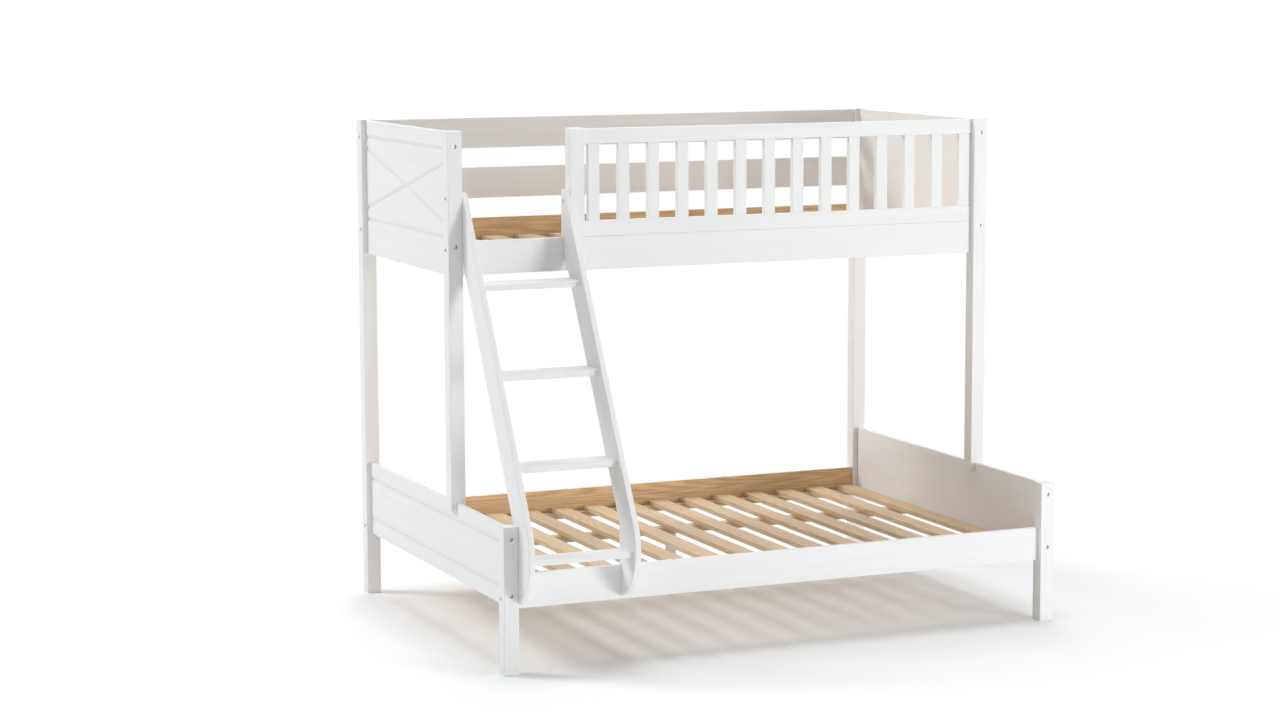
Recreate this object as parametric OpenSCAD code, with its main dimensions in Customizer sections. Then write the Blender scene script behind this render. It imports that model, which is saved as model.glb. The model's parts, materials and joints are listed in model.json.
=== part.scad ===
// Bunk bed of white painted pine: a deep lower bed, a narrower upper bed over its rear part,
// a guard rail, and a leaning ladder hooked over both front rails.
// X runs along the bed, Y from front to rear and Z up.

/* [Bed] */
// Length over the end posts
bed_l = 2080; // [1880:10:2280]
// Depth of the lower bed over its legs and rear posts
bed_d = 1486; // [1386:2:1686]
// Depth of the upper bed over its posts
upper_d = 986; // [886:2:1066]
// Height of the tall posts
bed_h = 1760; // [1730:5:1900]
// Height of the short front legs
leg_h = 495; // [460:5:560]

/* [Posts] */
// Square section of every post and leg
post = 52; // [48:1:60]
// Rounding of the posts' upright edges
post_r = 3; // [1:0.5:6]
// Length of the cheeks by which an upper front post straddles the lower end panel
foot_lap = 28; // [18:1:60]
// Gap between those cheeks and the panel
foot_gap = 0.3; // [0.1:0.1:1]

/* [End panels] */
// Thickness of the end panels
panel_t = 14; // [13:1:20]
// Drop of the upper panels' top below the top of the posts
upper_panel_drop = 3; // [0:1:12]
// Drop of the lower panels' top below the top of the legs
lower_panel_drop = 2; // [0:1:12]
// Height of the lower panels' bottom above the bottom of the lower rails
lower_panel_rise = 7; // [0:1:12]
// Depth of the upper panels' bottom below the bottom of the upper rails
upper_panel_sink = 2; // [0:1:20]
// Width of the V grooves on the panels' outer faces
groove_w = 22; // [12:1:26]
// Depth of the V grooves
groove_depth = 5; // [2:0.5:6]
// Distance of the top groove below a panel's top edge
groove_drop = 61; // [55:1:64]
// Distance of the bottom groove above a lower panel's bottom edge
lower_groove_rise = 57; // [40:1:70]
// Distance of the bottom groove above an upper panel's bottom edge
upper_groove_rise = 128; // [124:1:150]
// Distance from a straight groove to the ends of the crossed grooves
cross_gap = 40; // [30:1:60]

/* [Rails and boards] */
// Height of the four long rails
rail_h = 115; // [110:1:130]
// Thickness of the rails and rear boards
rail_t = 22; // [20:1:26]
// Distance of the rails behind the posts' outer faces
rail_inset = 20; // [14:1:22]
// Top of the lower rails above the floor
lower_rail_top = 334; // [324:1:360]
// Depth of the upper rails' top below the top of the posts
upper_rail_drop = 374; // [360:1:410]
// Height of the rear middle board
middle_board_h = 114; // [90:1:130]
// Gap between the upper rear rail and the rear middle board
middle_board_gap = 73; // [40:1:85]
// Height of the rear top board
top_board_h = 112; // [100:1:130]

/* [Slats] */
// Slats in each bed
slat_n = 15; // [10:1:20]
// Width of a slat
slat_w = 70; // [50:1:90]
// Thickness of a slat
slat_t = 18; // [14:1:20]
// Depth of the slats' top below the top of the rails
slat_drop = 67; // [62:1:70]
// Gap between the outer slats and the posts' inner faces
slat_side = 2; // [1:0.5:10]
// Gap between a slat's ends and the rails
slat_end_gap = 1; // [0.5:0.5:4]
// Gap between the slats and the ledgers that they rest on
slat_rest_gap = 0.3; // [0.2:0.1:0.5]
// Thickness of the ledgers
ledger_t = 20; // [16:1:30]
// Height of the ledgers
ledger_h = 25; // [20:1:26]
// Width of the tapes under the slats
tape_w = 20; // [12:1:30]
// Thickness of the tapes
tape_t = 1; // [0.6:0.1:1.5]
// Distance of a tape from the ledger beside it
tape_gap = 4; // [2:1:60]
// Wire of the staples
staple_d = 1.2; // [0.8:0.1:1.6]
// Width of a staple
staple_w = 10; // [6:1:16]
// Depth of a staple in its slat
staple_bite = 9; // [5:1:12]

/* [Support under the lower slats] */
// Distance of the beam behind the legs' front faces
beam_y = 978; // [600:1:1100]
// Width of the beam
beam_w = 43; // [38:1:60]
// Thickness of the beam
beam_t = 25; // [20:1:26]
// Width of the leg under the beam, along the bed
beam_leg_w = 25; // [20:1:50]
// Distance of the beam's dowels and screws from its middle line
beam_spread = 11; // [8:1:13]

/* [Guard] */
// Height of the guard's top rail
guard_top_h = 52; // [48:1:70]
// Height of the guard's bottom rail
guard_bottom_h = 54; // [50:1:64]
// Uprights of the guard
upright_n = 14; // [8:1:18]
// Width of an upright
upright_w = 43; // [38:1:60]
// Thickness of an upright
upright_t = 20; // [14:1:20]
// Gap between the guard post and the first upright
upright_gap_left = 21; // [18:1:60]
// Gap between the last upright and the right post
upright_gap_right = 10; // [6:1:60]
// Width of the uprights' tenons
tenon_w = 35; // [25:1:37]
// Thickness of the uprights' tenons
tenon_t = 10; // [6:1:12]
// Length of the uprights' tenons
tenon_l = 12; // [6:1:14]
// Clearance round the tenons
tenon_gap = 0.2; // [0.1:0.1:0.5]

/* [Ladder] */
// Width of the ladder over its side pieces
ladder_w = 394; // [340:1:480]
// Thickness of the side pieces
stringer_t = 21; // [18:1:28]
// Width of the side pieces, square to their slanted edges
stringer_w = 108; // [90:1:115]
// Depth of the side pieces' flat tops, front to rear
stringer_top_d = 29; // [24:1:60]
// Depth of the upper hook below the top of the upper rail
hook_drop = 42; // [25:1:80]
// Depth of both hooks' seats on the rails
hook_seat = 20; // [15:1:20]
// Height at which the slanted back edge leaves the lower hook
back_start_z = 476; // [450:1:520]
// Radius of the rounded feet of the side pieces
foot_r = 180; // [160:5:220]
// Height of the centre of that rounding
foot_centre_z = 400; // [390:5:420]
// Rungs of the ladder
rung_n = 4; // [4:1:4]
// Thickness of a rung
rung_t = 22; // [18:1:28]
// Top of the lowest rung above the floor
rung_first = 397; // [380:1:410]
// Depth of the highest rung below the top of the upper rail
rung_last_drop = 134; // [120:1:180]
// Setback of the rungs from the side pieces' front edge
rung_setback = 20; // [10:1:30]
// Depth of the rungs' ends in the side pieces
rung_housing = 8; // [4:1:12]
// Rounding of the rungs' front edges
rung_r = 5; // [2:0.5:8]

/* [Hardware] */
// Diameter of the bolts
bolt_d = 6; // [5:0.5:6.5]
// Diameter of the bolt holes
bolt_hole_d = 7; // [7:0.5:8]
// Diameter of the bolts' heads
bolt_head_d = 10; // [9:0.5:12]
// Height of the bolts' heads
bolt_head_h = 6; // [4:0.5:8]
// Width of the bolts' hexagon sockets, across the corners
socket_d = 5.8; // [4:0.1:6]
// Diameter of the recesses round the bolt heads
recess_d = 14; // [13:0.5:16]
// Depth of those recesses in the posts
recess_depth = 12; // [8:1:14]
// Depth of the recess in the ladder's side piece
ladder_recess_depth = 6; // [6:0.5:8]
// Length of a bolt's tip beyond its barrel nut
bolt_tip = 5; // [2:1:8]
// Diameter of the barrel nuts
nut_d = 10; // [10:0.5:12]
// Distance of the barrel nuts from the end of their board
nut_setback = 30; // [22:1:36]
// Wall left behind a barrel nut in an end panel
panel_nut_wall = 2; // [1:0.5:3]
// Wall left behind a barrel nut in a rail
rail_nut_wall = 6; // [4:0.5:6]
// Clearance round nuts, inserts, dowels and screws
hardware_gap = 0.2; // [0.1:0.1:0.4]
// Height between a rail's bolt and the end panel's bolt beside it
bolt_stagger = 12; // [11:1:16]
// Diameter of the threaded inserts that hold the ladder's bolts
insert_d = 10; // [9:0.5:12]
// Length of the threaded inserts
insert_l = 15; // [10:1:16]
// Diameter of the dowels
dowel_d = 8; // [6:0.5:10]
// Length of the dowels
dowel_l = 30; // [20:1:40]
// Depth of the beam's dowels in the end panels
beam_dowel_bite = 8; // [5:1:10]
// Diameter of the screws
screw_d = 4; // [3:0.5:5]
// Diameter of the screws' heads
screw_head_d = 8; // [7:0.5:9]
// Height of the screws' cone heads
screw_head_h = 3; // [2:0.5:4]
// Screws in each ledger
ledger_screw_n = 6; // [4:1:10]
// Depth of the ledgers' screws in the rails
ledger_screw_bite = 13; // [8:1:16]
// Depth of the guard post's screws in its lap
lap_screw_bite = 14; // [8:1:17]
// Depth of the beam's screws in the leg under it
leg_screw_bite = 35; // [20:1:60]

/* [Hidden] */
$fn = 48;

paint = [0.93, 0.93, 0.91];
pine = [0.87, 0.75, 0.60];
webbing = [0.88, 0.87, 0.83];
steel = [0.72, 0.73, 0.75];
beech = [0.83, 0.68, 0.50];

// Length by which a cutting solid runs past the face that it opens
over = 1;

// Heights of the rails, panels and boards
upper_rail_top = bed_h - upper_rail_drop;
lower_rail_z = lower_rail_top - rail_h;
upper_rail_z = upper_rail_top - rail_h;
lower_panel_z = lower_rail_z + lower_panel_rise;
lower_panel_top = leg_h - lower_panel_drop;
upper_panel_z = upper_rail_z - upper_panel_sink;
upper_panel_top = bed_h - upper_panel_drop;
middle_board_z = upper_rail_top + middle_board_gap;
top_board_z = upper_panel_top - top_board_h;
guard_top_z = upper_panel_top - guard_top_h;
guard_bottom_top = upper_rail_top + guard_bottom_h;

// Places along and across the bed
upper_front_y = bed_d - upper_d;
panel_x = (post - panel_t) / 2;
inner_l = bed_l - 2 * post;
guard_post_x = post + ladder_w;
guard_l = bed_l - post - guard_post_x - post;

// Slats
slat_rise = rail_h - slat_drop - slat_t;
slat_len_lower = bed_d - 2 * (rail_inset + rail_t + slat_end_gap);
slat_len_upper = upper_d - 2 * (rail_inset + rail_t + slat_end_gap);
slat_pitch = (inner_l - 2 * slat_side - slat_w) / (slat_n - 1);
ledger_rise = slat_rise - slat_rest_gap - ledger_h;
lower_ledger_top = lower_rail_z + ledger_rise + ledger_h;
beam_z = lower_ledger_top - beam_t;

// Uprights of the guard
upright_l = guard_top_z - guard_bottom_top;
upright_pitch = (guard_l - upright_gap_left - upright_gap_right - upright_w) / (upright_n - 1);

// Ladder outline, in depth and height
hook_top_y = upper_front_y + rail_inset;
hook_top_z = upper_rail_top - hook_drop;
back_start_y = rail_inset + hook_seat;
lean = (hook_top_y - back_start_y) / (hook_top_z - back_start_z);
lean_len = sqrt(1 + lean * lean);
stringer_cut = stringer_w * lean_len;
stringer_top = back_start_z + (hook_top_y + hook_seat - stringer_top_d + stringer_cut - back_start_y) / lean;
rung_pitch = (upper_rail_top - rung_last_drop - rung_first) / (rung_n - 1);
foot_centre_y = front_line(foot_centre_z) + foot_r * lean_len;
foot_tangent_a = 180 - atan(lean);
foot_tangent_z = foot_centre_z + foot_r * sin(foot_tangent_a);
foot_end_a = 360 - acos((rail_inset - foot_centre_y) / foot_r);
ladder_front_y = foot_centre_y - foot_r;

// Bolts, dowels and screws
bolt_l = post - recess_depth + nut_setback + nut_d / 2 + bolt_tip;
bolt_hole_l = recess_depth + bolt_l + bolt_tip;
rail_nut_l = rail_t - rail_nut_wall - over;
panel_nut_l = panel_t - panel_nut_wall - over;
lower_rail_bolt = 35;
upper_rail_bolt = rail_h - 28;
top_board_bolt = top_board_h - 61;
dowel_inset = 24;
middle_dowel_spread = 26;
guard_dowel_spread = 13;
lower_panel_bolts = [lower_rail_z + lower_rail_bolt + bolt_stagger, lower_panel_top - 38];
upper_panel_bolts = [
    upper_rail_z + upper_rail_bolt + bolt_stagger, top_board_z + top_board_bolt + bolt_stagger
];
ladder_left_bolt_z = stringer_top - 19;
ladder_right_bolt_z = stringer_top - 39;
ladder_left_bolt_y = upper_front_y + post / 2;
ladder_right_bolt_y = hook_top_y;
ledger_screw_margin = nut_setback + 40;
lap_screws = [upper_rail_z + slat_rise + slat_t + 6, upper_rail_top - 20];

// A long board between the posts: distance of its outer face behind the outer plane that it faces,
// true if that is the rear plane, bottom, height, heights of its bolts and dowels, true with a ledger
lower_front = [rail_inset, false, lower_rail_z, rail_h, [lower_rail_bolt], [rail_h - dowel_inset], true];
lower_rear = [rail_inset, true, lower_rail_z, rail_h, [lower_rail_bolt], [rail_h - dowel_inset], true];
upper_front = [hook_top_y, false, upper_rail_z, rail_h, [upper_rail_bolt], [dowel_inset], true];
upper_rear = [rail_inset, true, upper_rail_z, rail_h, [upper_rail_bolt], [dowel_inset], true];
middle_board = [
    rail_inset, true, middle_board_z, middle_board_h, [],
    [middle_board_h / 2 - middle_dowel_spread, middle_board_h / 2 + middle_dowel_spread], false
];
top_board = [
    rail_inset, true, top_board_z, top_board_h, [top_board_bolt], [top_board_h - dowel_inset], false
];
guard_top = [hook_top_y, false, guard_top_z, guard_top_h, [guard_top_h / 2], [], false];
guard_bottom = [hook_top_y, false, upper_rail_top, guard_bottom_h, [guard_bottom_h / 2], [], false];

function is_rear(b) = b[1];
function board_bottom(b) = b[2];
function board_h(b) = b[3];
function bolt_heights(b) = b[4];
function dowel_heights(b) = b[5];
function has_ledger(b) = b[6];

function arc(c, r, a0, a1, n) = [for (i = [0:n]) let (a = a0 + (a1 - a0) * i / n) c + r * [cos(a), sin(a)]];
function back_line(z) = back_start_y + lean * (z - back_start_z);
function front_line(z) = back_line(z) - stringer_cut;
function foot_front(z) = foot_centre_y - sqrt(foot_r * foot_r - pow(z - foot_centre_z, 2));
function stringer_front(z) = z < foot_tangent_z ? foot_front(z) : front_line(z);
function rung_top(i) = rung_first + i * rung_pitch;
function slat_x(i) = post + slat_side + i * slat_pitch;
function upright_x(i) = guard_post_x + post + upright_gap_left + i * upright_pitch;
function ledger_screw_x(i) =
    post + ledger_screw_margin + i * (inner_l - 2 * ledger_screw_margin) / (ledger_screw_n - 1);

// Puts the origin at the bottom centre of the whole bed, ladder included
module placed() {
    translate([-bed_l / 2, -(bed_d + ladder_front_y) / 2, 0]) children();
}

module mirrored_x() {
    translate([bed_l, 0, 0]) mirror([1, 0, 0]) children();
}

module both_ends() {
    children();
    mirrored_x() children();
}

module from_rear() {
    translate([0, bed_d, 0]) mirror([0, 1, 0]) children();
}

// Stands a shape's own +Z along +X, +Y or -Y
module along_x(p) {
    translate(p) rotate([0, 90, 0]) children();
}

module along_y(p) {
    translate(p) rotate([-90, 0, 0]) children();
}

module against_y(p) {
    translate(p) rotate([90, 0, 0]) children();
}

// Extrudes an outline drawn in depth and height along +X
module side_plate(x, t) {
    translate([x, 0, 0]) rotate([90, 0, 90]) linear_extrude(t) children();
}

// A board's own space: y = 0 on its outer face, z = 0 on its bottom edge
module at_board(b) {
    if (is_rear(b)) {
        from_rear() translate([0, b[0], board_bottom(b)]) children();
    } else {
        translate([0, b[0], board_bottom(b)]) children();
    }
}

// Hardware, each along its own +Z from the outer face of the wood

module bolt(l, recess) {
    difference() {
        union() {
            translate([0, 0, recess - bolt_head_h]) cylinder(d = bolt_head_d, h = bolt_head_h);
            translate([0, 0, recess]) cylinder(d = bolt_d, h = l);
        }
        translate([0, 0, recess - bolt_head_h - over])
            cylinder(d = socket_d, h = bolt_head_h / 2 + over, $fn = 6);
    }
}

module bolt_hole(l, recess) {
    translate([0, 0, -over]) cylinder(d = recess_d, h = recess + over);
    cylinder(d = bolt_hole_d, h = l);
}

module dowel(l = dowel_l) {
    cylinder(d = dowel_d, h = l);
}

module dowel_hole(l = dowel_l) {
    translate([0, 0, -hardware_gap]) cylinder(d = dowel_d + 2 * hardware_gap, h = l + 2 * hardware_gap);
}

module screw(l) {
    cylinder(d1 = screw_head_d, d2 = screw_d, h = screw_head_h);
    cylinder(d = screw_d, h = l);
}

module screw_hole(l) {
    slope = (screw_head_d - screw_d) / screw_head_h;
    wide = screw_head_d + 2 * hardware_gap;
    translate([0, 0, -over]) cylinder(d = wide, h = over);
    cylinder(d1 = wide, d2 = wide - slope * screw_head_h, h = screw_head_h);
    cylinder(d = screw_d + 2 * hardware_gap, h = l + hardware_gap);
}

module cross_nut(l, bore_at) {
    difference() {
        cylinder(d = nut_d, h = l);
        along_y([0, -nut_d, bore_at]) cylinder(d = bolt_d + 2 * hardware_gap, h = 2 * nut_d);
    }
}

module threaded_insert() {
    difference() {
        cylinder(d = insert_d, h = insert_l);
        translate([0, 0, -over]) cylinder(d = bolt_d + 2 * hardware_gap, h = insert_l + 2 * over);
    }
}

module insert_hole() {
    translate([0, 0, -over]) cylinder(d = insert_d + 2 * hardware_gap, h = insert_l + over + hardware_gap);
}

// Holes that the left end of a board shares with the post beside it
module board_end_holes(b) {
    at_board(b) {
        for (z = bolt_heights(b)) {
            along_x([0, rail_t / 2, z]) bolt_hole(bolt_hole_l, recess_depth);
            along_y([post + nut_setback, rail_nut_wall, z])
                cylinder(d = nut_d + 2 * hardware_gap, h = rail_t - rail_nut_wall + over);
        }
        for (z = dowel_heights(b)) along_x([post - dowel_l / 2, rail_t / 2, z]) dowel_hole();
    }
}

// Holes that the end of a left panel shares with the post in front of it
module panel_end_holes(heights) {
    for (z = heights) {
        along_y([post / 2, 0, z]) bolt_hole(bolt_hole_l, recess_depth);
        along_x([panel_x + panel_nut_wall, post + nut_setback, z])
            cylinder(d = nut_d + 2 * hardware_gap, h = panel_t - panel_nut_wall + over);
    }
}

module foot_dowel_place() {
    translate([post / 2, upper_front_y + post / 2, lower_panel_top - dowel_l / 2]) children();
}

module beam_dowel_places() {
    for (s = [-1, 1]) {
        along_x([
            panel_x + panel_t - beam_dowel_bite, beam_y + beam_w / 2 + s * beam_spread, beam_z + beam_t / 2
        ]) children();
    }
}

module ledger_screw_places() {
    for (i = [0:ledger_screw_n - 1]) {
        against_y([ledger_screw_x(i), rail_t + ledger_t, ledger_rise + ledger_h / 2]) children();
    }
}

module lap_screw_places() {
    for (z = lap_screws) against_y([guard_post_x + post / 2, hook_top_y + rail_t, z]) children();
}

module leg_screw_places() {
    for (s = [-1, 1]) {
        translate([bed_l / 2, beam_y + beam_w / 2 + s * beam_spread, lower_ledger_top])
            rotate([180, 0, 0]) children();
    }
}

module guard_dowel_places() {
    for (b = [guard_top, guard_bottom], s = [-1, 1]) {
        at_board(b) along_x([
            guard_post_x + post - dowel_l / 2, rail_t / 2, board_h(b) / 2 + s * guard_dowel_spread
        ]) children();
    }
}

ledger_screw_l = ledger_t + ledger_screw_bite;
lap_screw_l = rail_t + lap_screw_bite;
leg_screw_l = beam_t + leg_screw_bite;

// Posts and legs

module post_bar(h) {
    linear_extrude(h) {
        translate([post_r, 0]) square([post - 2 * post_r, post]);
        translate([0, post_r]) square([post, post - 2 * post_r]);
        for (x = [post_r, post - post_r], y = [post_r, post - post_r]) translate([x, y]) circle(post_r);
    }
}

module rear_post() {
    difference() {
        translate([0, bed_d - post, 0]) post_bar(bed_h);
        for (b = [lower_rear, upper_rear, middle_board, top_board]) board_end_holes(b);
        from_rear() panel_end_holes(concat(lower_panel_bolts, upper_panel_bolts));
    }
}

module upper_front_post() {
    foot_z = lower_panel_top - foot_lap;
    difference() {
        translate([0, upper_front_y, foot_z]) post_bar(bed_h - foot_z);
        translate([panel_x - foot_gap, upper_front_y - over, foot_z - over])
            cube([panel_t + 2 * foot_gap, post + 2 * over, foot_lap + over]);
        board_end_holes(upper_front);
        translate([0, upper_front_y, 0]) panel_end_holes(upper_panel_bolts);
        foot_dowel_place() dowel_hole();
    }
}

module front_leg() {
    difference() {
        post_bar(leg_h);
        board_end_holes(lower_front);
        panel_end_holes(lower_panel_bolts);
    }
}

module rear_left_post() {
    color(paint) placed() rear_post();
}

module rear_right_post() {
    color(paint) placed() mirrored_x() rear_post();
}

module upper_front_left_post() {
    color(paint) placed() difference() {
        upper_front_post();
        along_x([0, ladder_left_bolt_y, ladder_left_bolt_z]) bolt_hole(post + over, recess_depth);
    }
}

module upper_front_right_post() {
    color(paint) placed() difference() {
        mirrored_x() upper_front_post();
        mirrored_x() board_end_holes(guard_top);
        mirrored_x() board_end_holes(guard_bottom);
    }
}

module lower_front_left_leg() {
    color(paint) placed() front_leg();
}

module lower_front_right_leg() {
    color(paint) placed() mirrored_x() front_leg();
}

// End panels, with V grooves on the outer face

module groove(y0, z0, y1, z1) {
    run = norm([y1 - y0, z1 - z0]);
    slope = atan2(z1 - z0, y1 - y0);
    translate([panel_x, y0, z0]) rotate([slope, 0, 0]) rotate([-90, 0, 0])
        translate([0, 0, -groove_w]) linear_extrude(run + 2 * groove_w)
            polygon([
                [-over, -groove_w / 2], [0, -groove_w / 2], [groove_depth, 0], [0, groove_w / 2],
                [-over, groove_w / 2]
            ]);
}

module panel_board(y0, z0, z1) {
    translate([panel_x, y0, z0]) cube([panel_t, bed_d - post - y0, z1 - z0]);
}

module upper_panel() {
    y0 = upper_front_y + post;
    y1 = bed_d - post;
    low = upper_panel_z + upper_groove_rise;
    high = upper_panel_top - groove_drop;
    difference() {
        panel_board(y0, upper_panel_z, upper_panel_top);
        for (z = [low, high]) groove(y0, z, y1, z);
        groove(y0, low + cross_gap, y1, high - cross_gap);
        groove(y0, high - cross_gap, y1, low + cross_gap);
        translate([0, upper_front_y, 0]) panel_end_holes(upper_panel_bolts);
        from_rear() panel_end_holes(upper_panel_bolts);
    }
}

module lower_panel() {
    y1 = bed_d - post;
    difference() {
        panel_board(post, lower_panel_z, lower_panel_top);
        for (z = [lower_panel_z + lower_groove_rise, lower_panel_top - groove_drop]) groove(post, z, y1, z);
        panel_end_holes(lower_panel_bolts);
        from_rear() panel_end_holes(lower_panel_bolts);
        foot_dowel_place() dowel_hole();
        beam_dowel_places() dowel_hole();
    }
}

module upper_left_end_panel() {
    color(paint) placed() upper_panel();
}

module upper_right_end_panel() {
    color(paint) placed() mirrored_x() upper_panel();
}

module lower_left_end_panel() {
    color(paint) placed() lower_panel();
}

module lower_right_end_panel() {
    color(paint) placed() mirrored_x() lower_panel();
}

// Rails, rear boards and ledgers

module long_board(b) {
    difference() {
        at_board(b) translate([post, 0, 0]) cube([inner_l, rail_t, board_h(b)]);
        both_ends() board_end_holes(b);
        if (has_ledger(b)) at_board(b) ledger_screw_places() screw_hole(ledger_screw_l);
    }
}

module ledger(b) {
    at_board(b) difference() {
        translate([post, rail_t, ledger_rise]) cube([inner_l, ledger_t, ledger_h]);
        ledger_screw_places() screw_hole(ledger_screw_l);
    }
}

module lower_front_rail() {
    color(paint) placed() long_board(lower_front);
}

module lower_rear_rail() {
    color(paint) placed() long_board(lower_rear);
}

module upper_front_rail() {
    color(paint) placed() difference() {
        long_board(upper_front);
        lap_screw_places() screw_hole(lap_screw_l);
    }
}

module upper_rear_rail() {
    color(paint) placed() long_board(upper_rear);
}

module rear_middle_board() {
    color(paint) placed() long_board(middle_board);
}

module rear_top_board() {
    color(paint) placed() long_board(top_board);
}

module lower_front_ledger() {
    color(pine) placed() ledger(lower_front);
}

module lower_rear_ledger() {
    color(pine) placed() ledger(lower_rear);
}

module upper_front_ledger() {
    color(pine) placed() ledger(upper_front);
}

module upper_rear_ledger() {
    color(pine) placed() ledger(upper_rear);
}

// Guard

module guard_post() {
    color(paint) placed() difference() {
        translate([guard_post_x, upper_front_y, upper_rail_z]) post_bar(bed_h - upper_rail_z);
        translate([guard_post_x - over, hook_top_y, upper_rail_z - over])
            cube([post + 2 * over, post, rail_h + over]);
        guard_dowel_places() dowel_hole();
        lap_screw_places() screw_hole(lap_screw_l);
        along_x([guard_post_x, ladder_right_bolt_y, ladder_right_bolt_z]) {
            insert_hole();
            cylinder(d = bolt_hole_d, h = insert_l + 2 * bolt_tip);
        }
    }
}

module tenons(z0, z1, gap) {
    for (i = [0:upright_n - 1]) {
        translate([
            upright_x(i) + (upright_w - tenon_w) / 2 - gap,
            hook_top_y + (rail_t - tenon_t) / 2 - gap,
            z0
        ]) cube([tenon_w + 2 * gap, tenon_t + 2 * gap, z1 - z0]);
    }
}

module guard_rail(b) {
    difference() {
        at_board(b) translate([guard_post_x + post, 0, 0]) cube([guard_l, rail_t, board_h(b)]);
        mirrored_x() board_end_holes(b);
        guard_dowel_places() dowel_hole();
        tenons(guard_bottom_top - tenon_l - tenon_gap, guard_top_z + tenon_l + tenon_gap, tenon_gap);
    }
}

module guard_top_rail() {
    color(paint) placed() guard_rail(guard_top);
}

module guard_bottom_rail() {
    color(paint) placed() guard_rail(guard_bottom);
}

module guard_uprights() {
    color(paint) placed() {
        for (i = [0:upright_n - 1]) {
            translate([upright_x(i), hook_top_y + (rail_t - upright_t) / 2, guard_bottom_top])
                cube([upright_w, upright_t, upright_l]);
        }
        tenons(guard_bottom_top - tenon_l, guard_top_z + tenon_l, 0);
    }
}

// Ladder

module stringer_outline() {
    c = [foot_centre_y, foot_centre_z];
    polygon(concat(
        [[hook_top_y + hook_seat, stringer_top], [hook_top_y + hook_seat, upper_rail_top]],
        [[hook_top_y, upper_rail_top], [hook_top_y, hook_top_z]],
        [[back_start_y, back_start_z], [back_start_y, lower_rail_top], [rail_inset, lower_rail_top]],
        arc(c, foot_r, foot_end_a, 180, 20),
        [for (p = arc(c, foot_r, 180, foot_tangent_a, 8)) if (p[1] > foot_centre_z + over) p],
        [[front_line(stringer_top), stringer_top]]
    ));
}

module rung_outline(i) {
    top = rung_top(i);
    bottom = top - rung_t;
    front = stringer_front(top) + rung_setback;
    polygon(concat(
        arc([front + rung_r, top - rung_r], rung_r, 90, 180, 6),
        arc([front + rung_r, bottom + rung_r], rung_r, 180, 270, 6),
        [[back_line(bottom), bottom], [back_line(top), top]]
    ));
}

// A side piece at the ladder's left, with the housings of the rungs
module stringer() {
    difference() {
        side_plate(post, stringer_t) stringer_outline();
        for (i = [0:rung_n - 1]) {
            side_plate(post + stringer_t - rung_housing, rung_housing + over) rung_outline(i);
        }
    }
}

module rung(i) {
    side_plate(post + stringer_t - rung_housing, ladder_w - 2 * (stringer_t - rung_housing))
        rung_outline(i);
}

module ladder_left_stringer() {
    color(paint) placed() difference() {
        stringer();
        along_x([post, ladder_left_bolt_y, ladder_left_bolt_z]) {
            insert_hole();
            cylinder(d = bolt_hole_d, h = insert_l + 2);
        }
    }
}

module ladder_right_stringer() {
    color(paint) placed() difference() {
        translate([2 * post + ladder_w, 0, 0]) mirror([1, 0, 0]) stringer();
        along_x([guard_post_x - stringer_t, ladder_right_bolt_y, ladder_right_bolt_z])
            bolt_hole(stringer_t + over, ladder_recess_depth);
    }
}

module ladder_rung_1() {
    color(paint) placed() rung(0);
}

module ladder_rung_2() {
    color(paint) placed() rung(1);
}

module ladder_rung_3() {
    color(paint) placed() rung(2);
}

module ladder_rung_4() {
    color(paint) placed() rung(3);
}

// Slats, with the tapes that keep their spacing

module in_lower_bed() {
    translate([0, rail_inset + rail_t, lower_rail_z + slat_rise]) children();
}

module in_upper_bed() {
    translate([0, hook_top_y + rail_t, upper_rail_z + slat_rise]) children();
}

// In a bed's own space y = 0 is the front rail's inner face and z = 0 the slats' underside
module tape_places(len) {
    for (y = [slat_end_gap + ledger_t + tape_gap, len + slat_end_gap - ledger_t - tape_gap - tape_w]) {
        translate([0, y, 0]) children();
    }
}

module staple_legs(h) {
    for (i = [0:slat_n - 1], s = [0, 1]) {
        translate([
            slat_x(i) + (slat_w - staple_w) / 2 + s * (staple_w - staple_d), (tape_w - staple_d) / 2, -tape_t
        ]) cube([staple_d, staple_d, h]);
    }
}

module slats(len) {
    difference() {
        for (i = [0:slat_n - 1]) translate([slat_x(i), slat_end_gap, 0]) cube([slat_w, len, slat_t]);
        tape_places(len) staple_legs(tape_t + staple_bite);
    }
}

module tapes(len) {
    tape_places(len) difference() {
        translate([slat_x(0), 0, -tape_t]) cube([slat_x(slat_n - 1) + slat_w - slat_x(0), tape_w, tape_t]);
        translate([0, 0, -over]) staple_legs(tape_t + 2 * over);
    }
}

module staples(len) {
    tape_places(len) {
        staple_legs(tape_t + staple_bite);
        for (i = [0:slat_n - 1]) {
            translate([slat_x(i) + (slat_w - staple_w) / 2, (tape_w - staple_d) / 2, -tape_t - staple_d])
                cube([staple_w, staple_d, staple_d]);
        }
    }
}

module upper_slats() {
    color(pine) placed() in_upper_bed() slats(slat_len_upper);
}

module upper_slat_tapes() {
    color(webbing) placed() in_upper_bed() tapes(slat_len_upper);
}

module upper_slat_staples() {
    color(steel) placed() in_upper_bed() staples(slat_len_upper);
}

module lower_slats() {
    color(pine) placed() in_lower_bed() slats(slat_len_lower);
}

module lower_slat_tapes() {
    color(webbing) placed() in_lower_bed() tapes(slat_len_lower);
}

module lower_slat_staples() {
    color(steel) placed() in_lower_bed() staples(slat_len_lower);
}

// Beam and leg under the lower slats

module lower_support_beam() {
    x0 = panel_x + panel_t;
    color(pine) placed() difference() {
        translate([x0, beam_y, beam_z]) cube([bed_l - 2 * x0, beam_w, beam_t]);
        both_ends() beam_dowel_places() dowel_hole();
        leg_screw_places() screw_hole(leg_screw_l);
    }
}

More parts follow.
